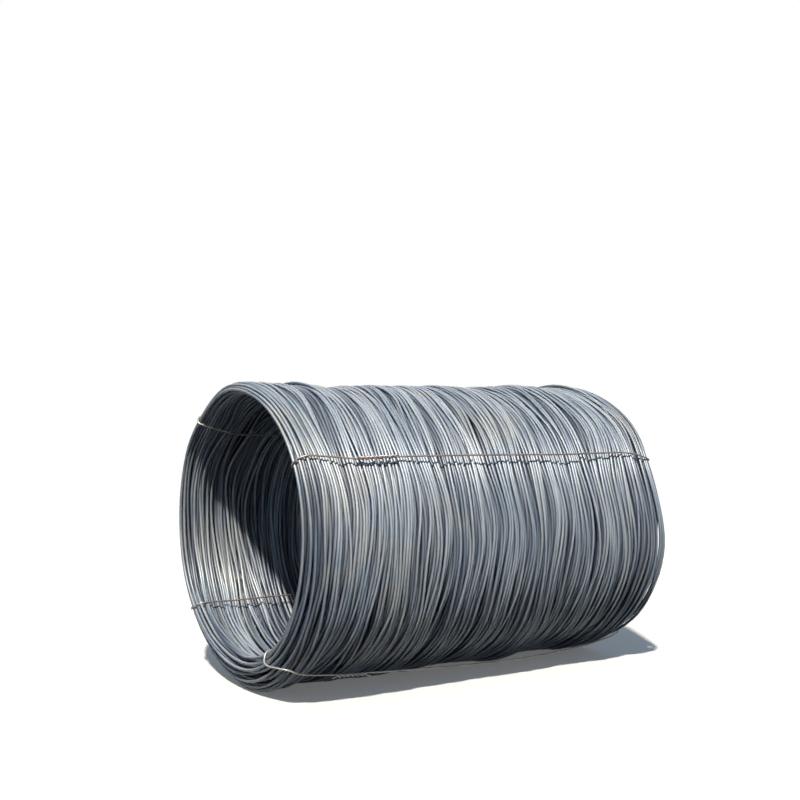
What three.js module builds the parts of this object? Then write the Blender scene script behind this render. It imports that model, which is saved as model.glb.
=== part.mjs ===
// A coil of hot-rolled steel wire rod, lying on its side and held by four binding wires.
//
// Millimetres. The coil's axis runs along Y, +Z is up, and the origin is on the floor under the
// middle of the coil. The near end, next to the wires' knots, is at -Y.
//
// The rod lies in some hundreds of overlapping turns. They pack into a hollow wall that is turned
// here as one body: single turns show on its two rounded ends, and along its flanks the turns show
// as packs, pressed together, with a groove between one pack and the next.
import * as THREE from "three";

// The rod, and the round coil that it is laid into
const rodDiameter = 12;
const coilRadius = 625; // axis to the outside of the turns
const coilLength = 1756; // over the turns of both ends
const coilWall = 95; // outside to bore
const facetCount = 32; // flat faces round the coil, one of them underneath

// How the turns round off at the ends. The turn that stands furthest out is at crest, a share of the wall
// from the bore, and the depths are how far back from it the flank and the bore start.
const nearEnd = { side: -1, crest: 0.35, outerDepth: 60, innerDepth: 42 };
const farEnd = { side: 1, crest: 0.7, outerDepth: 24, innerDepth: 42 };

// Packs of turns along the flanks
const packTurns = 4; // turns side by side in a pack, outside
const borePacks = 5; // packs outside to each pack in the bore, an odd number so that their grooves line up
const packRelief = 8; // how far the lowest packs lie under the proudest
const grooveDepth = 8; // between two packs

// The coil gives under its own weight: it spreads sideways, comes down and its turns pile up below. It
// gives least at its ends, so it stands higher there.
const settling = 17.5; // what the coil's half height loses and its half width gains
const boreRise = 12; // the bore's middle, over the middle of the outside
const endRise = 31; // top of the coil at its ends, over the top of its middle
const nearBoreRise = 30; // what boreRise gains at the near end, where the bottom turns bunch up

// The binding wires
const tieDiameter = 7;
const seatGap = 0.5; // between a wire and the turns that it lies on
const knotLength = 140;
const knotTurns = 3.5; // a half turn over, so each end goes in next to the coil and comes out on top
const knotGap = 1; // between the two strands of a knot
const knotFromEnd = 320; // near end of the coil to the middle of a knot
const tailLength = 22; // of each wire end past its knot
const tailLift = 9; // how far its tip is bent up
const tieSides = 5;
const bendSteps = 8; // straight steps in a wire's half turn round an end of the coil
const runSteps = 5; // steps along its straight runs, between the raised ends
const knotSteps = 6; // steps in each turn of a knot

// Where the wires lie round the coil, from +X towards +Z, and how far each hangs off the flank
const slackLean = 0.7; // under 1, a wire hangs off furthest past its middle, nearer the far end
const ties = [
  { name: "tie_wire_upper_right", degrees: 33, slack: 10, color: 0x8a6f66 },
  { name: "tie_wire_upper_left", degrees: 130.5, slack: 5, color: 0x8d857d },
  { name: "tie_wire_lower_left", degrees: 219, slack: 5, color: 0x8f8b86 },
  { name: "tie_wire_lower_right", degrees: 305, slack: 36, color: 0x9b9894 },
];

const rodRadius = rodDiameter / 2;
const tieRadius = tieDiameter / 2;
const boreRadius = coilRadius - coilWall;
const facetAngle = (2 * Math.PI) / facetCount;
const packLength = packTurns * rodDiameter;
const borePackLength = borePacks * packLength;
const outerFlank = { radius: coilRadius, outward: 1, depth: "outerDepth", packLength };
const boreFlank = { radius: boreRadius, outward: -1, depth: "innerDepth", packLength: borePackLength };
const raisedFrom = (sidePacks(boreFlank) + 0.5) * boreFlank.packLength; // from the coil's middle

// The whole packs of a flank on each side of its middle one. One more at each end reaches to where the end
// rounds off.
function sidePacks(flank) {
  const depth = Math.max(nearEnd[flank.depth], farEnd[flank.depth]);
  return Math.floor((coilLength / 2 - depth) / flank.packLength) - 1;
}

// Moves a point of the round coil, its axis on Y, to where it is after the coil has settled.
// radius is the distance from the axis of the turns that carry the point.
function settle(point, radius) {
  const depth = THREE.MathUtils.clamp((coilRadius - radius) / coilWall, 0, 1);
  const raised = Math.max(0, (Math.abs(point.y) - raisedFrom) / (coilLength / 2 - raisedFrom));
  const halfHeight = coilRadius - settling;
  point.x *= (coilRadius + settling) / coilRadius;
  point.z = (point.z / coilRadius + 1) * (halfHeight + (endRise * raised) / 2);
  point.z += (boreRise + (point.y < 0 ? nearBoreRise * raised : 0)) * depth;
  return point;
}

// A flank of the wall, in packs from the near end to the far one. The pack in the middle is one of the
// proud ones that the coil lies on.
function flankPacks(flank) {
  const { radius, outward, depth } = flank;
  const lastPack = sidePacks(flank) + 1;
  const points = [];
  for (let i = -lastPack; i <= lastPack; i += 1) {
    const lie = THREE.MathUtils.clamp(1.25 * Math.sin(1.3 * i) ** 2 - 0.25, 0, 1);
    const crest = radius - outward * packRelief * lie;
    const start = i === -lastPack ? nearEnd[depth] - coilLength / 2 : (i - 0.5) * flank.packLength;
    const end = i === lastPack ? coilLength / 2 - farEnd[depth] : (i + 0.5) * flank.packLength;
    if (i > -lastPack) points.push(new THREE.Vector2(radius - outward * (packRelief + grooveDepth), start));
    points.push(new THREE.Vector2(crest, start + rodDiameter));
    points.push(new THREE.Vector2(crest, end - rodDiameter));
  }
  return points;
}

// The quarter ellipses that an end's surface lies on, outside and inside of its crest, set back by inset.
// Each is { radius, along } of its middle, and across and deep, its half axes.
function endQuarters(end, inset) {
  const crest = coilRadius - coilWall * (1 - end.crest);
  const quarter = (across, depth) => ({
    radius: crest,
    along: end.side * (coilLength / 2 - depth),
    across: across - inset,
    deep: depth - inset,
  });
  return [quarter(coilRadius - crest, end.outerDepth), quarter(crest - boreRadius, end.innerDepth)];
}

// The turns that show on an end, from the outside over the crest to the bore. The rods' middles lie on
// two quarter ellipses, side by side. Each rod shows a flat and two slopes down to where it meets the next.
function endTurns(end) {
  const [outer, inner] = endQuarters(end, rodRadius);
  const lay = new THREE.CurvePath();
  [outer, inner].forEach((part, i) => {
    const angles = [(i * Math.PI) / 2, ((i + 1) * Math.PI) / 2];
    lay.add(new THREE.EllipseCurve(part.radius, Math.abs(part.along), part.across, part.deep, ...angles));
  });
  const turns = Math.round(lay.getLength() / rodDiameter);
  const middles = lay.getSpacedPoints(turns);
  const flatHalf = Math.PI / 8;
  const points = [];
  middles.forEach((middle, i) => {
    const tangent = lay.getTangentAt(i / turns);
    for (const side of [-flatHalf, flatHalf]) {
      const outward = new THREE.Vector2(tangent.y, -tangent.x).rotateAround(new THREE.Vector2(), side);
      points.push(outward.multiplyScalar(rodRadius / Math.cos(flatHalf)).add(middle));
    }
    if (i < turns) points.push(middle.clone().lerp(middles[i + 1], 0.5));
  });
  return points.map((point) => new THREE.Vector2(point.x, end.side * point.y));
}

// The coil: one closed outline of the wall, turned about Y. Its flats, not its corners, are at the
// outline's radius, and the outline starts half a flat round, so that the coil lies on a flat.
function rodCoil() {
  const outside = flankPacks(outerFlank);
  const inside = flankPacks(boreFlank).reverse();
  const outline = [...outside, ...endTurns(farEnd), ...inside, ...endTurns(nearEnd).reverse()];
  outline.push(outline[0].clone());
  outline.forEach((point) => {
    point.x /= Math.cos(facetAngle / 2);
  });
  const geometry = new THREE.LatheGeometry(outline, facetCount, facetAngle / 2);
  const places = geometry.attributes.position;
  const point = new THREE.Vector3();
  for (let i = 0; i < places.count; i += 1) {
    point.fromBufferAttribute(places, i);
    settle(point, Math.hypot(point.x, point.z) * Math.cos(facetAngle / 2));
    places.setXYZ(i, point.x, point.y, point.z);
  }
  geometry.computeVertexNormals();
  return geometry;
}

// A wire's route is a list of stations {radius, along, outward, off, aside}: the turns that the wire
// crosses there are at radius and along, outward is the way out of them, in the plane of the
// axis, and the wire's middle stands off them by off and lies aside of its own plane by aside.

// One run along a flank, with a station wherever the coil starts to rise towards an end.
function straightRun(radius, from, to, outward, off) {
  const stations = [];
  for (let i = 0; i <= runSteps; i += 1) {
    const along = THREE.MathUtils.lerp(-raisedFrom, raisedFrom, i / runSteps) * Math.sign(to - from);
    const share = (along - from) / (to - from);
    if (share > 0 && share < 1) stations.push({ radius, along, outward, off: off(share), aside: 0 });
  }
  return stations;
}

// The half turn round an end, from the outside to the bore. Its corners stand out a little, so that the
// straight steps between them touch the curve of the end.
function halfTurn(end) {
  const off = tieRadius + seatGap;
  const corner = 1 / Math.cos(Math.PI / bendSteps / 2);
  const quarters = endQuarters(end, -off);
  const stations = [];
  for (let i = 0; i < bendSteps; i += 1) {
    const angle = ((i + 0.5) * Math.PI) / bendSteps;
    const quarter = quarters[angle < Math.PI / 2 ? 0 : 1];
    const outward = new THREE.Vector2(Math.cos(angle), end.side * Math.sin(angle));
    const radius = quarter.radius + (quarter.across * corner - off) * outward.x;
    const along = quarter.along + (quarter.deep * corner - off) * outward.y;
    stations.push({ radius, along, outward, off, aside: 0 });
  }
  return stations;
}

// One strand of the knot, with its tail. It starts at the near side of the knot, next to the coil, and
// winds over the other strand. way is 1 for the strand that goes towards the far end.
function knotStrand(way) {
  const outward = new THREE.Vector2(1, 0);
  const middle = knotFromEnd - coilLength / 2;
  const windRadius = tieRadius + knotGap / 2;
  const axisOff = tieRadius + seatGap + windRadius;
  const steps = Math.round(knotSteps * knotTurns);
  const stations = [];
  for (let i = 0; i <= steps; i += 1) {
    const turn = 2 * Math.PI * knotTurns * (i / steps);
    const along = middle + way * knotLength * (i / steps - 0.5);
    const off = axisOff - windRadius * Math.cos(turn);
    stations.push({ radius: coilRadius, along, outward, off, aside: way * windRadius * Math.sin(turn) });
  }
  const tip = stations[steps];
  stations.push({ ...tip, along: tip.along + way * tailLength, off: tip.off + tailLift });
  return stations;
}

// The whole wire: a tail, through the knot to the near end, back through the bore, round the far end
// and along the flank, and through the knot to the other tail.
function tieStations(slack) {
  const onTop = new THREE.Vector2(1, 0);
  const inBore = new THREE.Vector2(-1, 0);
  const seat = tieRadius + seatGap;
  const knotMiddle = knotFromEnd - coilLength / 2;
  const knotFar = knotMiddle + knotLength / 2;
  const hang = (share) => seat + slack * Math.sin(Math.PI * share ** slackLean);
  return [
    ...knotStrand(1).reverse(),
    ...halfTurn(nearEnd),
    ...straightRun(boreRadius, -coilLength / 2, coilLength / 2, inBore, () => seat),
    ...halfTurn(farEnd).reverse(),
    ...straightRun(coilRadius, coilLength / 2 - farEnd.outerDepth, knotFar, onTop, hang),
    ...knotStrand(-1),
  ];
}

// A station as a point of the settled coil, for a wire in the plane at an angle round the axis. The
// turns under it are flat between the coil's corners, so it is set out from the flat that it lies on.
function tiePoint(station, angle) {
  const flatAngle = Math.round(angle / facetAngle) * facetAngle;
  const out = station.radius + station.off * station.outward.x;
  const aside = out * Math.tan(angle - flatAngle) + station.aside;
  const point = new THREE.Vector3(
    out * Math.cos(flatAngle) - aside * Math.sin(flatAngle),
    station.along + station.off * station.outward.y,
    out * Math.sin(flatAngle) + aside * Math.cos(flatAngle),
  );
  return settle(point, station.radius);
}

// A curve whose even steps fall on its own points, close together in bends and far apart on the runs.
class WireRoute extends THREE.CatmullRomCurve3 {
  getUtoTmapping(u) {
    return u;
  }
}

function tieWire(tie) {
  const angle = THREE.MathUtils.degToRad(tie.degrees);
  const points = tieStations(tie.slack).map((station) => tiePoint(station, angle));
  const corners = [];
  for (let i = 0; i < tieSides; i += 1) {
    const turn = (2 * Math.PI * i) / tieSides;
    corners.push(new THREE.Vector2(tieRadius, 0).rotateAround(new THREE.Vector2(), turn));
  }
  return new THREE.ExtrudeGeometry(new THREE.Shape(corners), {
    steps: points.length - 1,
    extrudePath: new WireRoute(points, false, "centripetal"),
    bevelEnabled: false,
  });
}

const coil = new THREE.Group();

const rodFinish = new THREE.MeshStandardMaterial({ color: 0x7f8a93, roughness: 0.5, metalness: 0.75 });
const rod = new THREE.Mesh(rodCoil(), rodFinish);
rod.name = "rod_coil";
coil.add(rod);

for (const tie of ties) {
  const finish = new THREE.MeshStandardMaterial({ color: tie.color, roughness: 0.6, metalness: 0.6 });
  const wire = new THREE.Mesh(tieWire(tie), finish);
  wire.name = tie.name;
  coil.add(wire);
}

export default coil;
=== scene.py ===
import math

import bpy
import numpy as np
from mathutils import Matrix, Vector


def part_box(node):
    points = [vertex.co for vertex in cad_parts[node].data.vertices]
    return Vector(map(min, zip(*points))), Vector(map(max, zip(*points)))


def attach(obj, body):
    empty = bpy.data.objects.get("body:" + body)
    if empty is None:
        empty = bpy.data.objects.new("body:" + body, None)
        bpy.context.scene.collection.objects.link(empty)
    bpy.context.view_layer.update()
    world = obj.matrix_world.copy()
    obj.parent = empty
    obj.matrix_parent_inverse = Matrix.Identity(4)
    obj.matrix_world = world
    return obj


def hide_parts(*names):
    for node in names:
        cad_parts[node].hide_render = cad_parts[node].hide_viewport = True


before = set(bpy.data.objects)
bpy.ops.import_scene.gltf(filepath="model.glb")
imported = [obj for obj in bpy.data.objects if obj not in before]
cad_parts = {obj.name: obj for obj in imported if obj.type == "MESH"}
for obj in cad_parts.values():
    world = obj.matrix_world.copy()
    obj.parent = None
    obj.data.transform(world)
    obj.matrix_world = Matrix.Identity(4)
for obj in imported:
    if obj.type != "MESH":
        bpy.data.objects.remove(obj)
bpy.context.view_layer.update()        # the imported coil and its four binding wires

coilLow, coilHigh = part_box("rod_coil")

# One rod laid in hundreds of turns, in metres. A turn's height is how far from the near end it lies.
rodCoil = {
    "rodDiameter": 0.012,
    "coilRadius": 0.625,     # axis to the outside of the turns, before the coil settled
    "wall": 0.095,           # laid turns, outside to bore
    "settling": 0.0175,      # what the coil's half height lost and its half width gained
    "boreRise": 0.012,       # middle of the bore over the middle of the outside
    "pointsPerTurn": 84,
    "rodSides": 10,
    "turnOn": 25,            # degrees that the fattest side of a turn moves round for the next one
    "turnOnSpread": 32,
    "leastShift": 0.8,       # smallest sideways shift of a turn, as a share of what the wall lets it have
    "sizeSpread": 0.05,      # how far a turn's radius strays, as a share of the wall
    "tries": 12,             # ways that a turn can fall, of which it takes the lowest
    "peakShare": 0.2,        # how much its highest place counts there, beside its mean height
    "stiffness": 10.0,       # bends round a turn that the rod gives way to
    "weight": 0.0025,        # how far its weight pulls a turn down between what it lies on
    "letDownSteps": 60,
    "press": 0.05,           # rods that a turn presses into those it lies on
    "levelling": 0.5,        # how strongly a turn's fat side goes to where the pile is low
    "wander": 0.008,         # how strongly it goes on round the coil instead
    "rim": 0.17,             # half the width of the wall's two sides that tell how the pile is tilted
    "roundFull": 0.785,      # share of the near end's depth at which the pile is as wide as the wall
    "overhang": 0.4,         # rods that a turn may reach over the far end
    "mostMisses": 24,        # turns that no longer fit, after which the coil is full
    "levelWaves": 9,         # bends round the pile's two ends that are pressed level
    "standOut": 15,          # percent of the way round where an end's turns are pressed in
    "joinAt": 200,           # degrees round the coil where the first turn passes on to the next
    "joinArc": 110,
    "joinStray": 0.15,       # how far that place moves from turn to turn, in radians
    "showDepth": 1.5,        # rods below the surface at which no turn shows
    "pieces": 5,
    "seed": 7,
}

# How the turns round off at the ends. crest is a share of the wall, from the bore, and power is 1 for a
# cone and 2 for a round end. boreUp is how much thicker the wall is below, and thinner on top.
nearEnd = {
    "crest": 0.33,
    "outerDepth": 0.060,
    "innerDepth": 0.042,
    "power": 1.4,
    "boreUp": 0.034,
    "boreUpLength": 0.20,
}
farEnd = {"crest": 0.75, "outerDepth": 0.012, "innerDepth": 0.042, "power": 3.0}

# How the finished coil is out of true
outOfTrue = {
    "nearRise": 0.025,       # how much higher its top stands at the ends, where it is pressed less
    "farRise": 0.008,
    "riseLength": 0.20,
    "lipRise": 0.024,        # how much more the turns of the near end bunch up at the bottom of the bore
    "lipAt": 250,            # degrees from +X towards +Z
    "lipReach": 90,
    "lipLength": 0.14,
    "dent": 0.022,           # flattened place at the near end
    "dentAt": 124,
    "dentReach": 30,
    "dentLength": 0.40,
    "skew": 0.012,           # how far the near end leans back on its left
    "skewLength": 0.30,
    "waves": 7,              # long waves in its wall
    "waveHeight": 0.0022,
    "waveLengths": (0.18, 0.6),
    "mostBends": 4,          # that a wave has on its way round the coil
    "seed": 4,
}

# Turns that lie across their neighbours for a part of their way round
slippedTurns = {
    "outside": 8,
    "inside": 2,
    "outsideArc": (-0.7, math.pi + 0.7),     # where their middles may lie, in radians from +X towards +Z
    "insideArc": (0.2, 2 * math.pi),
    "keptTurns": 4,          # at each end, which don't slip
    "slide": 0.045,
    "leastSlide": 0.4,       # as a share of slide
    "reach": (35, 60),       # degrees
    "clear": 0.011,          # how far they stand off the wall
    "seed": 9,
}

# Turns that are pushed along the coil for an arc, where light would fall through its wall: the turn, the
# degrees round the coil, how many degrees wide the arc is and how far they are pushed
pushedTurns = (
    (40, 170, 32, 0.004), (61, 165, 32, 0.010), (66, 235, 32, 0.010), (74, 245, 32, 0.007),
    (81, 220, 32, 0.007), (90, 225, 32, -0.010), (103, 260, 32, -0.010), (104, 235, 32, -0.010),
    (113, 240, 20, -0.004), (113, 250, 32, -0.010),
)

coilLength = coilHigh.y - coilLow.y
coilRadius = rodCoil["coilRadius"]
halfWidth = coilRadius + rodCoil["settling"]
halfHeight = coilRadius - rodCoil["settling"]
outermost = coilRadius - rodCoil["rodDiameter"] / 2              # of a rod's middle
innermost = coilRadius - rodCoil["wall"] + rodCoil["rodDiameter"] / 2


# 1 at distance 0, down to 0 at reach, with soft ends.
def fade(distance, reach):
    share = np.clip(1 - distance / reach, 0, 1)
    return share * share * (3 - 2 * share)


# The radius of a rod that lies innermost in the wall, by the angle round the coil and its height.
def boreSide(angle, height):
    return innermost + nearEnd["boreUp"] * np.sin(angle) * fade(height, nearEnd["boreUpLength"])


# How far a rod's middle stays back from an end, by its place in the wall from 0 at the bore to 1 outside.
def roundOff(place, end):
    outward = place > end["crest"]
    share = np.abs(place - end["crest"]) / np.where(outward, 1 - end["crest"], end["crest"])
    back = 1 - (1 - np.minimum(share, 1) ** end["power"]) ** (1 / end["power"])
    offWall = np.maximum(0, share - 1.1)      # the end stands steep beside the wall, so no turn falls there
    return np.where(outward, end["outerDepth"], end["innerDepth"]) * back + 0.3 * offWall


# The mean of each row of numbers, over the places where chosen holds.
def meanWhere(numbers, chosen):
    return (numbers * chosen).sum(1) / chosen.sum(1)


# A stiff ring let down on what lies under it: as low as it goes with its bends kept long.
def restOn(under, settings):
    points = len(under)
    waves = np.fft.rfftfreq(points, 1 / points)
    give = 1 + (waves / settings["stiffness"]) ** 4
    seat, push = under.copy(), np.zeros(points)
    for _ in range(settings["letDownSteps"]):
        pull = np.fft.rfft(seat - push)
        pull[0] -= settings["weight"] * points
        ring = np.fft.irfft(pull / give, points)
        seat = np.maximum(under, ring + push)
        push = push + ring - seat
    return ring + max(0.0, (under - ring).max() - settings["press"] * settings["rodDiameter"])


# Lays turn after turn on the pile, from the near end up. Returns (turns, points, 2): radius and height.
def layTurns(settings):
    rng = np.random.default_rng(settings["seed"])
    diameter, points, tries = settings["rodDiameter"], settings["pointsPerTurn"], settings["tries"]
    around = 2 * math.pi * np.arange(points) / points
    row = np.arange(points)
    lanesPerRod = 8          # the pile's height is kept in lanes round the coil
    lane = diameter / lanesPerRod
    lanes = np.arange(innermost - nearEnd["boreUp"] - 2 * diameter, outermost + 2 * diameter, lane)
    first = boreSide(around, 0)[:, None]
    pile = diameter / 2 + roundOff((lanes - first) / (outermost - first), nearEnd)
    mould = pile.copy()
    reach = np.arange(-lanesPerRod, lanesPerRod + 1)
    rim = settings["rim"]
    fatSide, level, misses, turns = rng.uniform(0, 2 * math.pi), 0.0, 0, []
    while misses < settings["mostMisses"]:
        # the pile widens from the crest of the rounded near end, and once the coil is nearly full,
        # turns lie less far aside
        filled = min(1, (level / (settings["roundFull"] * nearEnd["outerDepth"])) ** (2 / 3))
        room = max(math.sqrt(1 - (1 - filled) ** 2), 2 * diameter / settings["wall"])
        lean = 0.5 * room * (1 - misses / settings["mostMisses"])
        side = boreSide(around, level)
        laneAt = (lanes - side[:, None]) / (outermost - side[:, None])
        outer = meanWhere(pile, abs(laneAt - (1 - rim)) < rim)
        inner = meanWhere(pile, abs(laneAt - rim) < rim)
        tilt = 2 * np.mean((outer - outer.mean() - inner + inner.mean()) * np.exp(1j * around))
        steps = np.radians(rng.normal(settings["turnOn"], settings["turnOnSpread"], tries))
        onward = settings["wander"] * np.exp(1j * (fatSide + steps))
        sides = np.angle(onward - settings["levelling"] * tilt)
        shifts = lean * rng.uniform(settings["leastShift"], 1, tries)
        middles = nearEnd["crest"] + (0.5 - nearEnd["crest"]) * room
        middles += rng.normal(0, settings["sizeSpread"], tries)
        middles += (0.5 * room - shifts) * rng.uniform(-1, 1, tries)
        places = middles[:, None] + shifts[:, None] * np.cos(around - sides[:, None])
        radii = side + np.clip(places, 0, 1) * (outermost - side)
        spots = (radii - lanes[0]) / lane
        low = spots.astype(int)
        under = pile[row, low] + (spots - low) * (pile[row, low + 1] - pile[row, low])
        best = int(np.argmin(under.mean(1) + settings["peakShare"] * under.max(1)))
        radius = radii[best]
        height = restOn(under[best], settings)
        farLimit = coilLength - diameter / 2 - roundOff((radius - side) / (outermost - side), farEnd)
        if (height - farLimit).max() > settings["overhang"] * diameter:
            misses += 1
            continue
        fatSide = float(sides[best])
        near = np.rint(spots[best]).astype(int)[:, None] + reach
        near = np.clip(near, 0, len(lanes) - 1)
        gap = lanes[near] - radius[:, None]
        over = height[:, None] + np.sqrt(np.maximum(0, diameter**2 - gap**2))
        over[np.abs(gap) >= diameter] = -1       # lanes that the rod doesn't cover
        np.maximum.at(pile, (np.broadcast_to(row[:, None], near.shape), near), over)
        turns.append(np.stack([radius, height], 1))
        level = meanWhere(pile - mould, abs(laneAt - 0.5) < 0.5).mean()
    return np.array(turns)


# Presses the pile level: its lowest and highest rods come to the coil's two ends, all the way round.
def levelTurns(turns, settings):
    half = settings["rodDiameter"] / 2
    edges = []
    for edge in (turns[:, :, 1].min(0), -turns[:, :, 1].max(0)):
        waves = np.fft.rfft(edge)
        waves[settings["levelWaves"]:] = 0
        smooth = np.fft.irfft(waves, len(edge))
        edges.append(smooth + np.percentile(edge - smooth, settings["standOut"]))
    low, high = edges[0], -edges[1]
    height = half + (turns[:, :, 1] - low) * (coilLength - 2 * half) / (high - low)
    turns[:, :, 1] = np.clip(height, half, coilLength - half)


# Lets some turns slip out of the wall for an arc, where they lie across the others.
def slipTurns(turns, settings):
    rng = np.random.default_rng(settings["seed"])
    count, points, _ = turns.shape
    around = 2 * math.pi * np.arange(points) / points
    free = np.arange(settings["keptTurns"], count - settings["keptTurns"])
    picked = rng.choice(free, settings["outside"] + settings["inside"], replace=False)
    for i, turn in enumerate(picked):
        outside = i < settings["outside"]
        middle = rng.uniform(*settings["outsideArc" if outside else "insideArc"])
        reach = math.radians(rng.uniform(*settings["reach"]))
        away = np.angle(np.exp(1j * (around - middle)))
        hump = np.exp(-np.abs(away / reach) ** 3)
        clear = settings["clear"] if outside else -settings["clear"]
        surface = (outermost if outside else innermost) + clear
        turns[turn, :, 0] += hump * (surface - turns[turn, :, 0])
        slide = rng.uniform(settings["leastSlide"], 1) * rng.choice([-1, 1]) * settings["slide"]
        height = turns[turn, :, 1] + slide * away / reach * np.exp(-((away / reach) ** 2))
        turns[turn, :, 1] = np.clip(height, nearEnd["outerDepth"], coilLength - farEnd["innerDepth"])


# Joins the turns into one rod. Returns its angles, radii and heights, point after point.
def joinTurns(turns, settings):
    rng = np.random.default_rng(settings["seed"] + 1)
    count, points, _ = turns.shape
    arc = math.radians(settings["joinArc"])
    angle = 2 * math.pi * np.arange((count - 1) * points) / points
    stray = np.cumsum(rng.normal(0, settings["joinStray"], count - 1))
    passOn = 2 * math.pi * np.arange(1, count) + math.radians(settings["joinAt"]) + stray
    index = np.zeros(len(angle))
    for start in passOn:
        after = int(start / (2 * math.pi) * points)
        step = np.clip((angle[after:] - start) / arc, 0, 1)
        index[after:] += step * step * (3 - 2 * step)
    turn = np.minimum(index.astype(int), count - 2)
    share = (index - turn)[:, None]
    spot = np.arange(len(angle)) % points
    path = (1 - share) * turns[turn, spot] + share * turns[turn + 1, spot]
    return angle, path[:, 0], path[:, 1]


# Pushes turns along the coil for an arc, by a change of their heights.
def pushTurns(angle, height, pushes):
    for turn, middle, arc, push in pushes:
        away = (np.degrees(angle) - 360 * turn - middle) / arc
        height += push * np.exp(-(away**2))


# Long waves in the wall, as a change of radius.
def wallWaves(angle, height, settings):
    rng = np.random.default_rng(settings["seed"])
    change = 0
    for _ in range(settings["waves"]):
        bends = rng.integers(0, settings["mostBends"] + 1)
        length, start = rng.uniform(*settings["waveLengths"]), rng.uniform(0, 2 * math.pi)
        change = change + np.sin(bends * angle + 2 * math.pi * height / length + start)
    return settings["waveHeight"] * change


# How far a rod shows: 1 at the surface of the coil, down to 0 under the rods that lie there. The rod's
# material paints shade on rods by how little they show.
def showing(angle, radius, height):
    side = boreSide(angle, height)
    place = np.clip((radius - side) / (outermost - side), 0, 1)
    fromNear = height - roundOff(place, nearEnd)
    fromFar = coilLength - height - roundOff(place, farEnd)
    depth = np.minimum(np.minimum(outermost - radius, radius - side), np.minimum(fromNear, fromFar))
    return fade(np.maximum(depth, 0), rodCoil["showDepth"] * rodCoil["rodDiameter"])


# How many times higher the coil stands than in its middle, where it is pressed most.
def endLift(height):
    nearRise = outOfTrue["nearRise"] * fade(height, outOfTrue["riseLength"])
    farRise = outOfTrue["farRise"] * fade(coilLength - height, outOfTrue["riseLength"])
    return 1 + (nearRise + farRise) / (2 * halfHeight)


# How far round the coil an angle is from a place given in degrees, in degrees.
def degreesFrom(angle, place):
    return np.abs((np.degrees(angle) - place + 180) % 360 - 180)


# The round coil's points after it settled: wider, lower, its bore raised, and its ends less pressed.
def settlePoints(angle, radius, height, settings):
    inward = np.maximum(0, (coilRadius - radius) / settings["wall"])
    dent = fade(degreesFrom(angle, outOfTrue["dentAt"]), outOfTrue["dentReach"])
    dent = dent * fade(height, outOfTrue["dentLength"])
    radius = radius + wallWaves(angle, height, outOfTrue) - outOfTrue["dent"] * dent
    x = radius * np.cos(angle) * halfWidth / coilRadius
    z = (radius * np.sin(angle) / coilRadius + 1) * halfHeight
    z += settings["boreRise"] * np.minimum(inward, 1)
    lip = fade(degreesFrom(angle, outOfTrue["lipAt"]), outOfTrue["lipReach"])
    lip = fade(height, outOfTrue["lipLength"]) * lip
    z += outOfTrue["lipRise"] * lip * inward
    z = np.maximum(z * endLift(height), settings["rodDiameter"] / 2)
    lean = outOfTrue["skew"] * fade(height, outOfTrue["skewLength"]) * np.clip(-x / halfWidth, 0, 1)
    return np.stack([x, height + lean + coilLow.y, z], -1)


# Adds a node. inputs gives each socket a number, a colour or another node's output.
def addNode(tree, kind, inputs=(), **settings):
    node = tree.nodes.new(kind)
    for name, value in settings.items():
        setattr(node, name, value)
    for socket, value in dict(inputs).items():
        if isinstance(value, bpy.types.NodeSocket):
            tree.links.new(value, node.inputs[socket])
        else:
            node.inputs[socket].default_value = value
    return node


def calculate(tree, operation, first, second):
    return addNode(tree, "ShaderNodeMath", {0: first, 1: second}, operation=operation).outputs[0]


def combine(tree, operation, first, second=(0, 0, 0)):
    return addNode(tree, "ShaderNodeVectorMath", {0: first, 1: second}, operation=operation).outputs


def mixColors(tree, share, first, second):
    return addNode(tree, "ShaderNodeMix", {0: share, 6: first, 7: second}, data_type="RGBA").outputs[2]


# 0 below low and 1 above high, with soft ends.
def between(tree, value, low, high):
    inputs = {"Value": value, "From Min": low, "From Max": high}
    return addNode(tree, "ShaderNodeMapRange", inputs, interpolation_type="SMOOTHSTEP").outputs[0]


# Starts a node group with named sockets. Returns it with what it is given and what it makes.
def startGroup(name, kind, given, made):
    tree = bpy.data.node_groups.new(name, kind)
    for way, sockets in (("INPUT", given), ("OUTPUT", made)):
        for socket, sort in sockets.items():
            tree.interface.new_socket(socket, in_out=way, socket_type="NodeSocket" + sort)
    return tree, addNode(tree, "NodeGroupInput").outputs, addNode(tree, "NodeGroupOutput").inputs


# A Geometry Nodes tree that sweeps a round section along a path, so one tree makes the rod and the wires.
def sweepTree():
    given = {"Path": "Geometry", "Diameter": "Float", "Sides": "Int", "Finish": "Material"}
    tree, given, made = startGroup("sweepRound", "GeometryNodeTree", given, {"Mesh": "Geometry"})
    half = calculate(tree, "MULTIPLY", given["Diameter"], 0.5)
    circleInputs = {"Resolution": given["Sides"], "Radius": half}
    circle = addNode(tree, "GeometryNodeCurvePrimitiveCircle", circleInputs).outputs["Curve"]
    spot = addNode(tree, "GeometryNodeInputPosition").outputs[0]
    marking = {"Geometry": circle, "Name": "section", "Value": spot}
    marked = addNode(tree, "GeometryNodeStoreNamedAttribute", marking, data_type="FLOAT_VECTOR")
    section = marked.outputs[0]
    curve = addNode(tree, "GeometryNodeMeshToCurve", {0: given["Path"]}).outputs[0]
    sweeping = {"Curve": curve, "Profile Curve": section, "Fill Caps": True}
    swept = addNode(tree, "GeometryNodeCurveToMesh", sweeping).outputs[0]
    smooth = addNode(tree, "GeometryNodeSetShadeSmooth", {0: swept}).outputs[0]
    real = addNode(tree, "GeometryNodeRealizeInstances", {0: smooth}).outputs[0]
    finishing = {0: real, "Material": given["Finish"]}
    tree.links.new(addNode(tree, "GeometryNodeSetMaterial", finishing).outputs[0], made["Mesh"])
    return tree


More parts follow.
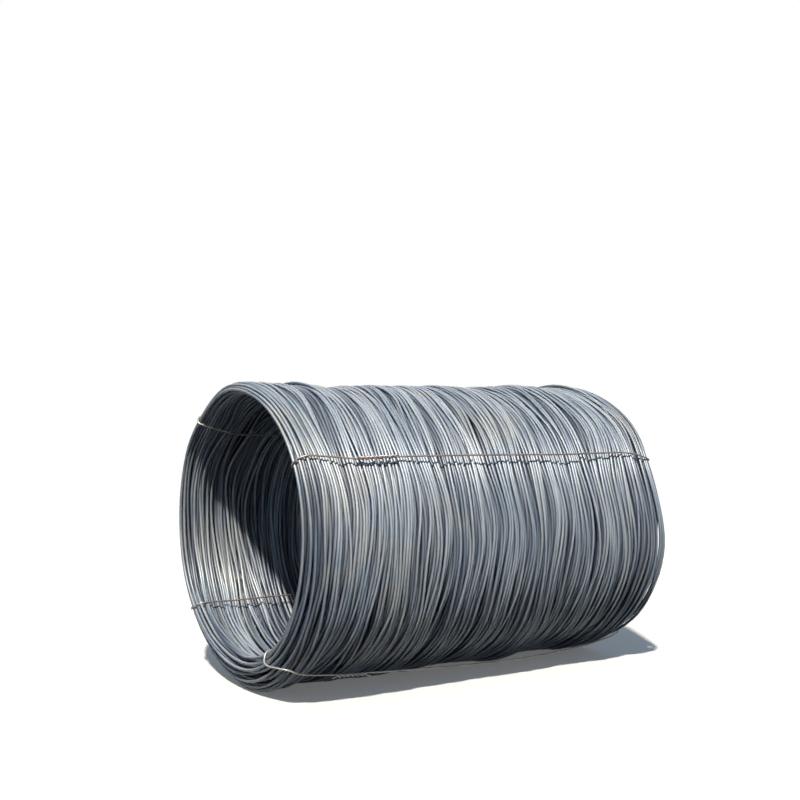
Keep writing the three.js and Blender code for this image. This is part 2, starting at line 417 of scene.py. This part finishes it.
# The length of a path up to each of its points.
def lengthsAlong(points):
    return np.append(0, np.cumsum(np.linalg.norm(np.diff(points, axis=0), axis=1)))


# Sweeps a path into a plain mesh piece. marks are numbers kept for each point of the path.
def sweepPath(name, points, marks, diameter, sides, material, tree):
    path = bpy.data.meshes.new(name + "_path")
    edges = np.stack([np.arange(len(points) - 1), np.arange(1, len(points))], 1)
    path.from_pydata(points.tolist(), edges.tolist(), [])
    for mark, values in marks.items():
        numbers = path.attributes.new(mark, "FLOAT", "POINT")
        numbers.data.foreach_set("value", np.asarray(values, np.float32))
    carrier = bpy.data.objects.new(name + "_path", path)
    bpy.context.scene.collection.objects.link(carrier)
    modifier = carrier.modifiers.new("sweep", "NODES")
    modifier.node_group = tree
    sockets = {s.name: s.identifier for s in tree.interface.items_tree if s.in_out == "INPUT"}
    modifier[sockets["Diameter"]] = diameter
    modifier[sockets["Sides"]] = sides
    modifier[sockets["Finish"]] = material
    depsgraph = bpy.context.evaluated_depsgraph_get()
    mesh = bpy.data.meshes.new_from_object(carrier.evaluated_get(depsgraph))
    mesh.name = name
    piece = bpy.data.objects.new(name, mesh)
    bpy.context.scene.collection.objects.link(piece)
    bpy.data.objects.remove(carrier)
    return piece


# Unrolls a swept piece on its map in strips, one over the other, with its two end caps in the last strip.
def unrollStrips(piece, sides, ringsPerStrip):
    mesh = piece.data
    corner = np.empty(len(mesh.loops), np.int32)
    mesh.loops.foreach_get("vertex_index", corner)
    starts, counts = np.empty((2, len(mesh.polygons)), np.int32)
    mesh.polygons.foreach_get("loop_start", starts)
    mesh.polygons.foreach_get("loop_total", counts)
    face = np.repeat(np.arange(len(counts)), counts)
    ring, side = np.divmod(corner, sides)
    strip = np.minimum.reduceat(ring, starts)[face] // ringsPerStrip
    strips = math.ceil(len(mesh.vertices) / sides / ringsPerStrip) + 1
    closing = (np.maximum.reduceat(side, starts)[face] == sides - 1) & (side == 0)
    around = np.where(closing, sides, side) / sides
    along = ring / ringsPerStrip - strip
    isCap = (counts > 4)[face]
    turn = 2 * math.pi * side / sides
    capRadius, margin = 0.4, 0.08            # as shares of a strip's width
    along = np.where(isCap, (np.where(ring > 0, 2, 1) + capRadius * np.cos(turn)) / strips, along)
    around = np.where(isCap, 0.5 + capRadius * np.sin(turn), around)
    strip = np.where(isCap, strips - 1, strip)
    places = np.stack([along, (strip + margin + (1 - 2 * margin) * around) / strips], 1)
    mesh.uv_layers.new(name="OFBake").data.foreach_set("uv", places.astype(np.float32).ravel())


def addGroup(tree, group, inputs):
    return addNode(tree, "ShaderNodeGroup", inputs, node_tree=group).outputs


# The scales of patches and drift are per patch length, and those of streaks and grain per metre.
scalePattern = {
    "patches": 1.0,
    "drift": 0.15,           # a slower change of tone under the patches
    "driftDetail": 1.0,
    "toneFrom": 0.36,        # noise that is dark scale, up to noise that is pale
    "toneBy": 0.64,
    "streaksAcross": 600.0,
    "streaksAlong": 14.0,
    "streakDetail": 2.0,
    "grain": 900.0,
    "detail": 3.0,           # of patches and grain
    "roughness": 0.6,
}
bloomPattern = {
    "edge": 0.74,            # noise at which a bloom starts where the cover is 0
    "edgePerCover": 0.5,
    "softness": 0.12,
    "detail": 5.0,
    "roughness": 0.65,
}


# Mill scale on a steel rod: Tone drifts along the rod, Streaks run along it and Grain is fine pitting.
def millScale(pattern):
    given = {"Run": "Float", "Section": "Vector", "Position": "Vector", "Patch Length": "Float"}
    made = {"Tone": "Float", "Streaks": "Float", "Grain": "Float"}
    tree, given, made = startGroup("millScale", "ShaderNodeTree", given, made)
    along = calculate(tree, "DIVIDE", given["Run"], given["Patch Length"])
    cloudy = {"Detail": pattern["detail"], "Roughness": pattern["roughness"]}
    patches = {"W": along, "Scale": pattern["patches"], **cloudy}
    patch = addNode(tree, "ShaderNodeTexNoise", patches, noise_dimensions="1D").outputs[0]
    drifts = {"W": along, "Scale": pattern["drift"], "Detail": pattern["driftDetail"]}
    drift = addNode(tree, "ShaderNodeTexNoise", drifts, noise_dimensions="1D").outputs[0]
    both = calculate(tree, "MULTIPLY", calculate(tree, "ADD", patch, drift), 0.5)
    spreading = {0: given["Section"], "Scale": pattern["streaksAcross"]}
    across = addNode(tree, "ShaderNodeVectorMath", spreading, operation="SCALE").outputs[0]
    stretched = calculate(tree, "MULTIPLY", given["Run"], pattern["streaksAlong"])
    lengthwise = addNode(tree, "ShaderNodeCombineXYZ", {"Z": stretched}).outputs[0]
    streakSpot = combine(tree, "ADD", across, lengthwise)["Vector"]
    streaks = {"Vector": streakSpot, "Scale": 1.0, "Detail": pattern["streakDetail"]}
    grain = {"Vector": given["Position"], "Scale": pattern["grain"], **cloudy}
    tree.links.new(between(tree, both, pattern["toneFrom"], pattern["toneBy"]), made["Tone"])
    tree.links.new(addNode(tree, "ShaderNodeTexNoise", streaks).outputs[0], made["Streaks"])
    tree.links.new(addNode(tree, "ShaderNodeTexNoise", grain).outputs[0], made["Grain"])
    return tree


# Blooms of rust or dust. Cover is how much of the surface they take, from 0 to 1.
def blooms(pattern):
    given = {"Position": "Vector", "Size": "Float", "Cover": "Float"}
    tree, given, made = startGroup("blooms", "ShaderNodeTree", given, {"Mask": "Float"})
    scale = calculate(tree, "DIVIDE", 1.0, given["Size"])
    cloudy = {"Detail": pattern["detail"], "Roughness": pattern["roughness"]}
    noise = {"Vector": given["Position"], "Scale": scale, **cloudy}
    cloud = addNode(tree, "ShaderNodeTexNoise", noise).outputs[0]
    lowering = calculate(tree, "MULTIPLY", given["Cover"], pattern["edgePerCover"])
    edge = calculate(tree, "SUBTRACT", pattern["edge"], lowering)
    full = calculate(tree, "ADD", edge, pattern["softness"])
    tree.links.new(between(tree, cloud, edge, full), made["Mask"])
    return tree


def addBlooms(tree, group, position, size, cover):
    return addGroup(tree, group, {"Position": position, "Size": size, "Cover": cover})["Mask"]


# Starts a steel's material. Returns it, its texture coordinates and the outputs of its mill scale.
def startSteel(name, finish, scaleGroup):
    material = bpy.data.materials.new(name)
    material.use_nodes = True
    tree = material.node_tree
    place = addNode(tree, "ShaderNodeTexCoord").outputs
    run = addNode(tree, "ShaderNodeAttribute", attribute_name="run").outputs["Fac"]
    section = addNode(tree, "ShaderNodeAttribute", attribute_name="section").outputs["Vector"]
    scaling = {"Run": run, "Section": section, "Position": place["Object"]}
    scale = addGroup(tree, scaleGroup, {**scaling, "Patch Length": finish["patchLength"]})
    return material, place, scale


# Finishes it. dull is 0 where the steel is smoothest and 1 where it is roughest, and relief is its height.
def finishSteel(material, finish, color, dull, relief):
    tree = material.node_tree
    shader = tree.nodes["Principled BSDF"]
    rough = {"Value": dull, "To Min": finish["smoothest"], "To Max": finish["roughest"]}
    bump = {"Strength": finish["bumpStrength"], "Distance": finish["bump"], "Height": relief}
    tree.links.new(color, shader.inputs["Base Color"])
    tree.links.new(addNode(tree, "ShaderNodeMapRange", rough).outputs[0], shader.inputs["Roughness"])
    tree.links.new(addNode(tree, "ShaderNodeBump", bump).outputs[0], shader.inputs["Normal"])
    shader.inputs["Metallic"].default_value = finish["metallic"]
    shader.inputs["Specular IOR Level"].default_value = finish["gloss"]


# Colours are linear. A share is how strongly a colour covers the one under it. A facing is 1 where the
# rod's side faces straight out of the coil or into its bore, and its two numbers are where an effect starts
# and where it is full.
rodFinish = {
    "darkScale": (0.225, 0.287, 0.375, 1),
    "paleScale": (0.40, 0.447, 0.505, 1),
    "patchLength": 0.30,
    "dust": (0.53, 0.49, 0.42, 1),
    "dustSize": 0.40,
    "dustCover": 0.45,
    "dustShare": 0.30,
    "rust": (0.23, 0.15, 0.11, 1),
    "rustSize": 0.035,
    "rustCover": 0.16,
    "rustShare": 0.6,
    "rubbed": (0.62, 0.64, 0.65, 1),
    "rubbedFacing": (0.80, 0.98),
    "rubbedStreaks": (0.40, 0.62),
    "rubbedShare": 0.45,
    "paintedShade": (0.018, 0.028, 0.058, 1),  # painted shade on rods that lie under others and on sides that lie against other turns
    "paintedShadeFacing": (0.15, 0.80),
    "paintedShadeShare": 0.85,
    "leastOpen": 0.18,                   # how open a side that lies against the next turn is at least, as a share kept from the painted shade
    "grainDulls": 0.8,
    "streakRelief": 0.7,
    "rustRelief": 0.8,
    "metallic": 0.05,
    "gloss": 0.3,
    "smoothest": 0.33,
    "roughest": 0.52,
    "bump": 0.0004,
    "bumpStrength": 0.6,
}


def rodMaterial(finish, scaleGroup, bloomGroup):
    material, place, scale = startSteel("rodSteel", finish, scaleGroup)
    tree = material.node_tree
    shown = addNode(tree, "ShaderNodeAttribute", attribute_name="showing").outputs["Fac"]
    dust = addBlooms(tree, bloomGroup, place["Object"], finish["dustSize"], finish["dustCover"])
    rust = addBlooms(tree, bloomGroup, place["Object"], finish["rustSize"], finish["rustCover"])
    # the sides of a rod that face out of the coil, or into its bore, are rubbed bright in places
    fromAxis = combine(tree, "SUBTRACT", place["Object"], (0, 0, halfHeight))["Vector"]
    outward = combine(tree, "NORMALIZE", combine(tree, "MULTIPLY", fromAxis, (1, 0, 1))["Vector"])["Vector"]
    facing = combine(tree, "DOT_PRODUCT", outward, place["Normal"])["Value"]
    facing = calculate(tree, "ABSOLUTE", facing, 0.0)
    crest = between(tree, facing, *finish["rubbedFacing"])
    worn = calculate(tree, "MULTIPLY", crest, between(tree, scale["Streaks"], *finish["rubbedStreaks"]))
    worn = calculate(tree, "MULTIPLY", worn, calculate(tree, "MULTIPLY", shown, finish["rubbedShare"]))
    color = mixColors(tree, scale["Tone"], finish["darkScale"], finish["paleScale"])
    color = mixColors(tree, calculate(tree, "MULTIPLY", dust, finish["dustShare"]), color, finish["dust"])
    color = mixColors(tree, calculate(tree, "MULTIPLY", rust, finish["rustShare"]), color, finish["rust"])
    color = mixColors(tree, worn, color, finish["rubbed"])
    # painted shade: the rods under others, and the sides that lie against other turns, are darkened as if
    # in their shadow
    exposed = between(tree, facing, *finish["paintedShadeFacing"])
    exposed = calculate(tree, "MULTIPLY", exposed, 1 - finish["leastOpen"])
    exposed = calculate(tree, "ADD", exposed, finish["leastOpen"])
    paintedShadeMask = calculate(tree, "SUBTRACT", 1.0, calculate(tree, "MULTIPLY", shown, exposed))
    paintedShadeMask = calculate(tree, "MULTIPLY", paintedShadeMask, finish["paintedShadeShare"])
    color = mixColors(tree, paintedShadeMask, color, finish["paintedShade"])
    pitted = calculate(tree, "MULTIPLY", scale["Grain"], finish["grainDulls"])
    dull = calculate(tree, "MAXIMUM", rust, pitted)
    streaked = calculate(tree, "MULTIPLY", scale["Streaks"], finish["streakRelief"])
    relief = calculate(tree, "ADD", scale["Grain"], streaked)
    relief = calculate(tree, "ADD", relief, calculate(tree, "MULTIPLY", rust, finish["rustRelief"]))
    finishSteel(material, finish, color, dull, relief)
    return material


sweep = sweepTree()
scaleGroup, bloomGroup = millScale(scalePattern), blooms(bloomPattern)
rodSteel = rodMaterial(rodFinish, scaleGroup, bloomGroup)

turns = layTurns(rodCoil)
print("laid", len(turns), "turns of rod")
levelTurns(turns, rodCoil)
slipTurns(turns, slippedTurns)
angle, radius, height = joinTurns(turns, rodCoil)
pushTurns(angle, height, pushedTurns)
points = settlePoints(angle, radius, height, rodCoil)
marks = {
    "run": lengthsAlong(points),
    "showing": showing(angle, radius, height),
}
print("joined them into", round(float(marks["run"][-1])), "m of rod")
perPiece = math.ceil(len(turns) / rodCoil["pieces"]) * rodCoil["pointsPerTurn"]
for i in range(rodCoil["pieces"]):
    span = slice(i * perPiece, (i + 1) * perPiece + 1)
    spanMarks = {mark: values[span] for mark, values in marks.items()}
    piece = sweepPath(f"rod_turns_{i + 1}", points[span], spanMarks,
                      rodCoil["rodDiameter"], rodCoil["rodSides"], rodSteel, sweep)
    unrollStrips(piece, rodCoil["rodSides"], rodCoil["pointsPerTurn"])
    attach(piece, "root")
    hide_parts("rod_coil")
    print(piece.name, len(piece.data.polygons), "faces")

# The binding wires. flank gives heights and the degrees from +X towards +Z where the wire lies there, and
# bore the degrees in the bore. loose is its slack all round. bow and boreBow are how far it hangs off the
# flank and the bore, and a lean over 1 moves that towards the far end.
bindingWires = {
    "upper_right": {
        "flank": ((0, 32.3), (0.17, 32.9), (0.25, 31.7), (0.44, 31.9), (1.22, 30.5), (1.56, 31.1),
                  (1.65, 30.3), (1.72, 27.9)),
        "bore": 30.0,
        "loose": 0.0, "bow": 0.016, "lean": 1.0, "boreBow": 0.010, "boreLean": 1.0,
        "dark": (0.13, 0.10, 0.10, 1), "pale": (0.30, 0.245, 0.24, 1), "rustCover": 0.12,
    },
    "upper_left": {
        "flank": ((0, 128.7), (0.4, 130.0), (1.75, 130.5)), "bore": 127.5,
        "loose": 0.0, "bow": 0.006, "lean": 1.0, "boreBow": 0.030, "boreLean": 0.7,
        "dark": (0.22, 0.19, 0.17, 1), "pale": (0.48, 0.45, 0.42, 1), "rustCover": 0.3,
    },
    "lower_left": {
        "flank": ((0, 216.7), (1.75, 218.0)), "bore": 221.9,
        "loose": 0.0, "bow": 0.006, "lean": 1.0, "boreBow": 0.014, "boreLean": 1.0,
        "dark": (0.10, 0.09, 0.095, 1), "pale": (0.27, 0.25, 0.26, 1), "rustCover": 0.3,
    },
    "lower_right": {
        "flank": ((0, 310.5), (0.06, 309.0), (0.14, 306.3), (0.25, 305.0), (0.8, 304.0), (1.75, 303.0)),
        "bore": 300.5,
        "loose": 0.001, "bow": 0.036, "lean": 1.5, "boreBow": 0.006, "boreLean": 1.0,
        "dark": (0.21, 0.20, 0.19, 1), "pale": (0.46, 0.45, 0.43, 1), "rustCover": 0.15,
    },
}

wireShape = {
    "diameter": 0.007,
    "sides": 10,
    "step": 0.006,
    "stepsPerStrip": 52,
    "asideSteps": 15,        # steps over which the wire can turn aside, and bend round the turns
    "bendSteps": 7,
    "clearance": 0.0015,
    "rodCorners": 24,        # of a rod's section, as the wire bends round it
    "flankDepth": 0.03,      # below its outermost place, where the wire still lies on the flank
    "knotFromEnd": 0.320,
    "knotLength": 0.140,
    "knotTurns": 3.5,
    "tail": 0.022,
    "tailLift": 0.009,
    "patchLength": 0.12,
    "toneShare": 0.6,
    "rust": (0.27, 0.13, 0.075, 1),
    "rustSize": 0.02,
    "rustShare": 0.7,
    "metallic": 0.3,
    "gloss": 0.5,
    "smoothest": 0.42,
    "roughest": 0.75,
    "bump": 0.0003,
    "bumpStrength": 0.6,
}


# Where the turns cross a wire's line: their distance from the axis, if the coil were round, and height.
def turnsAt(angleAt):
    perTurn = rodCoil["pointsPerTurn"]
    starts = perTurn * np.arange(len(points) // perTurn)
    place = angleAt(points[starts, 1] - coilLow.y) / (2 * math.pi) * perTurn
    low = place.astype(int)
    share = (place - low)[:, None]
    crossed = (1 - share) * points[starts + low] + share * points[starts + low + 1]
    height = crossed[:, 1] - coilLow.y
    x = crossed[:, 0] * coilRadius / halfWidth
    z = (crossed[:, 2] / endLift(height) / halfHeight - 1) * coilRadius
    return np.stack([np.hypot(x, z), height], 1)


# The tightest loop round a set of flat points, as its corners in order.
def tightLoop(flat):
    flat = flat[np.lexsort((flat[:, 1], flat[:, 0]))]

    def halfLoop(ordered):
        corners = []
        for point in ordered:
            while len(corners) > 1:
                (ax, ay), (bx, by) = corners[-2], corners[-1]
                if (bx - ax) * (point[1] - ay) - (by - ay) * (point[0] - ax) > 0:
                    break
                corners.pop()
            corners.append(tuple(point))
        return corners[:-1]

    return np.array(halfLoop(flat) + halfLoop(flat[::-1]))


# The running mean of numbers, heaviest in its middle, over an odd number of steps.
def smoothed(numbers, steps):
    weights = np.hanning(steps + 2)[1:-1]
    return np.convolve(np.pad(numbers, steps // 2, "edge"), weights / weights.sum(), "valid")


# A binding wire's path: tail, knot, round the near end, through the bore, round the far end, knot, tail.
def wirePath(tie, shape):
    heights, degrees = zip(*tie["flank"])
    boreAngle = math.radians(tie["bore"])

    def flankAngle(height):
        return np.radians(np.interp(height, heights, degrees))

    outer = turnsAt(flankAngle)
    inner = turnsAt(lambda height: np.full(len(height), boreAngle))
    middle = (innermost + outermost) / 2
    crossed = np.vstack([outer[outer[:, 0] > middle], inner[inner[:, 0] < middle]])
    reach = rodCoil["rodDiameter"] / 2 + shape["diameter"] / 2 + shape["clearance"] + tie["loose"]
    corner = 2 * math.pi * np.arange(shape["rodCorners"]) / shape["rodCorners"]
    discs = crossed[:, None, :] + reach * np.stack([np.cos(corner), np.sin(corner)], 1)
    loop = tightLoop(discs.reshape(-1, 2))[::-1]
    loop = np.vstack([loop, loop[:1]])
    along = lengthsAlong(loop)
    total = along[-1]

    def at(distance):
        return np.stack([np.interp(distance % total, along, loop[:, i]) for i in (0, 1)], -1)

    # it starts on the flank, at the knot's far side, and goes towards the near end
    probe = np.arange(0, total, 0.002)       # every 2 mm of the loop
    flank = at(probe)
    onFlank = flank[:, 0] > flank[:, 0].max() - shape["flankDepth"]
    knotFar = shape["knotFromEnd"] + shape["knotLength"] / 2
    origin = probe[onFlank][np.argmin(np.abs(flank[onFlank, 1] - knotFar))]
    span = np.arange(-shape["tail"], total + shape["knotLength"] + shape["tail"], shape["step"])
    spot = np.stack([smoothed(numbers, shape["bendSteps"]) for numbers in at(origin + span).T], 1)
    share = np.clip(spot[:, 1] / coilLength, 0, 1)
    offFlank = tie["bow"] * np.sin(math.pi * share ** tie["lean"])
    offBore = -tie["boreBow"] * np.sin(math.pi * share ** tie["boreLean"])
    spot[:, 0] += np.where(spot[:, 0] > middle, offFlank, offBore)
    # the two ends wind round each other at the knot
    wind = shape["diameter"] / 2 + shape["clearance"]
    full = 2 * math.pi * shape["knotTurns"]
    firstTurn = full * (shape["knotLength"] - span) / shape["knotLength"]
    lastTurn = full * (span - total) / shape["knotLength"]
    inFirst, inLast = span < shape["knotLength"], span > total
    wound = np.where(inLast, np.clip(lastTurn, 0, full), 0)
    wound = np.where(inFirst, np.clip(firstTurn, 0, full), wound)
    aside = np.where(inFirst, 1, -1) * wind * np.sin(wound)
    spot[:, 0] += wind * (1 - np.cos(wound))
    past = np.maximum(np.maximum(-span, span - total - shape["knotLength"]), 0)
    spot[:, 0] += shape["tailLift"] * (past / shape["tail"]) ** 2
    inWall = fade(outermost - spot[:, 0], outermost - innermost)
    around = boreAngle + inWall * (flankAngle(spot[:, 1]) - boreAngle)
    around = smoothed(around, shape["asideSteps"]) + aside / spot[:, 0]
    x = spot[:, 0] * np.cos(around) * halfWidth / coilRadius
    z = (spot[:, 0] * np.sin(around) / coilRadius + 1) * halfHeight * endLift(spot[:, 1])
    return np.stack([x, spot[:, 1] + coilLow.y, z], 1)


def wireMaterial(name, tie, shape, scaleGroup, bloomGroup):
    material, place, scale = startSteel("tieSteel_" + name, shape, scaleGroup)
    tree = material.node_tree
    rust = addBlooms(tree, bloomGroup, place["Object"], shape["rustSize"], tie["rustCover"])
    tone = calculate(tree, "ADD", scale["Tone"], scale["Streaks"])
    tone = calculate(tree, "MULTIPLY", tone, shape["toneShare"])
    color = mixColors(tree, tone, tie["dark"], tie["pale"])
    color = mixColors(tree, calculate(tree, "MULTIPLY", rust, shape["rustShare"]), color, shape["rust"])
    relief = calculate(tree, "ADD", scale["Grain"], calculate(tree, "ADD", scale["Streaks"], rust))
    finishSteel(material, shape, color, rust, relief)
    return material


for name, tie in bindingWires.items():
    path = wirePath(tie, wireShape)
    wireRun = lengthsAlong(path)
    steel = wireMaterial(name, tie, wireShape, scaleGroup, bloomGroup)
    piece = sweepPath("binding_wire_" + name, path, {"run": wireRun},
                      wireShape["diameter"], wireShape["sides"], steel, sweep)
    unrollStrips(piece, wireShape["sides"], wireShape["stepsPerStrip"])
    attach(piece, "root")
    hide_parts("tie_wire_" + name)
    print(piece.name, len(piece.data.polygons), "faces,", round(float(wireRun[-1]), 2), "m")

# Floor, lights and camera. The background is white, and the floor turns into it far from the coil.
stage = {
    "floorSize": 120.0,
    "floorColor": (0.84, 0.84, 0.83, 1),
    "floorGlow": 0.12,
    "bounceColor": (0.038, 0.038, 0.036, 1),    # what the floor throws back at the coil
    "whiteFrom": 2.5,
    "whiteBy": 9.0,
    "skyColor": (0.42, 0.68, 1.0, 1),
    "skyStrength": 0.23,
    "keyStrength": 4.4,
    "glareStrength": 11.5,    # more of the key that only shows as a reflection
    "keyColor": (1.0, 0.945, 0.83),
    "keyFrom": (0.470, -0.399, 0.787),
    "keyAngle": 2.5,
}

camera = {
    "place": (4.362, -2.022, 1.148),     # from the floor under the middle of the near end
    "azimuth": 57.19,
    "tilt": 0.057,
    "lens": 53.92,
    "sensor": 36,                        # mm, as the lens
}


# 1 for what the camera sees, straight or in a reflection, and 0 for the light that falls on the coil.
def seenDirectly(tree):
    path = addNode(tree, "ShaderNodeLightPath").outputs
    seen = calculate(tree, "MAXIMUM", path["Is Camera Ray"], path["Is Glossy Ray"])
    return calculate(tree, "MAXIMUM", seen, path["Is Transmission Ray"])


def floorMaterial(settings):
    material = bpy.data.materials.new("paleFloor")
    material.use_nodes = True
    tree = material.node_tree
    tree.nodes.clear()
    white = (1, 1, 1, 1)
    lit = addNode(tree, "ShaderNodeBsdfDiffuse", {"Color": settings["floorColor"]}).outputs[0]
    glowing = {"Color": white, "Strength": settings["floorGlow"]}
    glow = addNode(tree, "ShaderNodeEmission", glowing).outputs[0]
    pale = addNode(tree, "ShaderNodeAddShader", {0: lit, 1: glow}).outputs[0]
    backdrop = addNode(tree, "ShaderNodeEmission", {"Color": white, "Strength": 1.0}).outputs[0]
    place = addNode(tree, "ShaderNodeTexCoord").outputs["Object"]
    distance = combine(tree, "LENGTH", place)["Value"]
    far = between(tree, distance, settings["whiteFrom"], settings["whiteBy"])
    shown = addNode(tree, "ShaderNodeMixShader", {0: far, 1: pale, 2: backdrop}).outputs[0]
    bounce = addNode(tree, "ShaderNodeBsdfDiffuse", {"Color": settings["bounceColor"]}).outputs[0]
    seen = seenDirectly(tree)
    floor = addNode(tree, "ShaderNodeMixShader", {0: seen, 1: bounce, 2: shown}).outputs[0]
    addNode(tree, "ShaderNodeOutputMaterial", {"Surface": floor})
    return material


def makeSky(settings):
    sky = bpy.data.worlds.new("sky")
    bpy.context.scene.world = sky
    sky.use_nodes = True
    tree = sky.node_tree
    tree.nodes.clear()
    light = {"Color": settings["skyColor"], "Strength": settings["skyStrength"]}
    light = addNode(tree, "ShaderNodeBackground", light).outputs[0]
    white = addNode(tree, "ShaderNodeBackground", {"Color": (1, 1, 1, 1), "Strength": 1.0}).outputs[0]
    both = addNode(tree, "ShaderNodeMixShader", {0: seenDirectly(tree), 1: light, 2: white}).outputs[0]
    addNode(tree, "ShaderNodeOutputWorld", {"Surface": both})


def makeStage(settings):
    floorMesh = bpy.data.meshes.new("floor")
    half = settings["floorSize"] / 2
    corners = [(-half, -half, 0), (half, -half, 0), (half, half, 0), (-half, half, 0)]
    floorMesh.from_pydata(corners, [], [(0, 1, 2, 3)])
    floorMesh.materials.append(floorMaterial(settings))
    floor = bpy.data.objects.new("floor", floorMesh)
    bpy.context.scene.collection.objects.link(floor)
    for name in ("key", "glare"):
        light = bpy.data.lights.new(name, "SUN")
        light.energy = settings[name + "Strength"]
        light.color = settings["keyColor"]
        light.angle = math.radians(settings["keyAngle"])
        lamp = bpy.data.objects.new(name, light)
        lamp.rotation_euler = Vector(settings["keyFrom"]).to_track_quat("Z", "Y").to_euler()
        lamp.visible_diffuse = name == "key"
        bpy.context.scene.collection.objects.link(lamp)


def makeCamera(settings):
    lens = bpy.data.cameras.new("camera")
    lens.lens = settings["lens"]
    lens.sensor_width = settings["sensor"]
    view = bpy.data.objects.new("camera", lens)
    view.location = Vector(settings["place"]) + Vector((0, coilLow.y, 0))
    turn = math.radians(settings["azimuth"])
    tilt = math.radians(settings["tilt"])
    look = Vector((-math.sin(turn) * math.cos(tilt), math.cos(turn) * math.cos(tilt), math.sin(tilt)))
    view.rotation_euler = look.to_track_quat("-Z", "Y").to_euler()
    bpy.context.scene.collection.objects.link(view)
    bpy.context.scene.camera = view


makeStage(stage)
makeSky(stage)
makeCamera(camera)
print("floor, lights and camera are in place")
bpy.context.scene.view_settings.view_transform = "Standard"
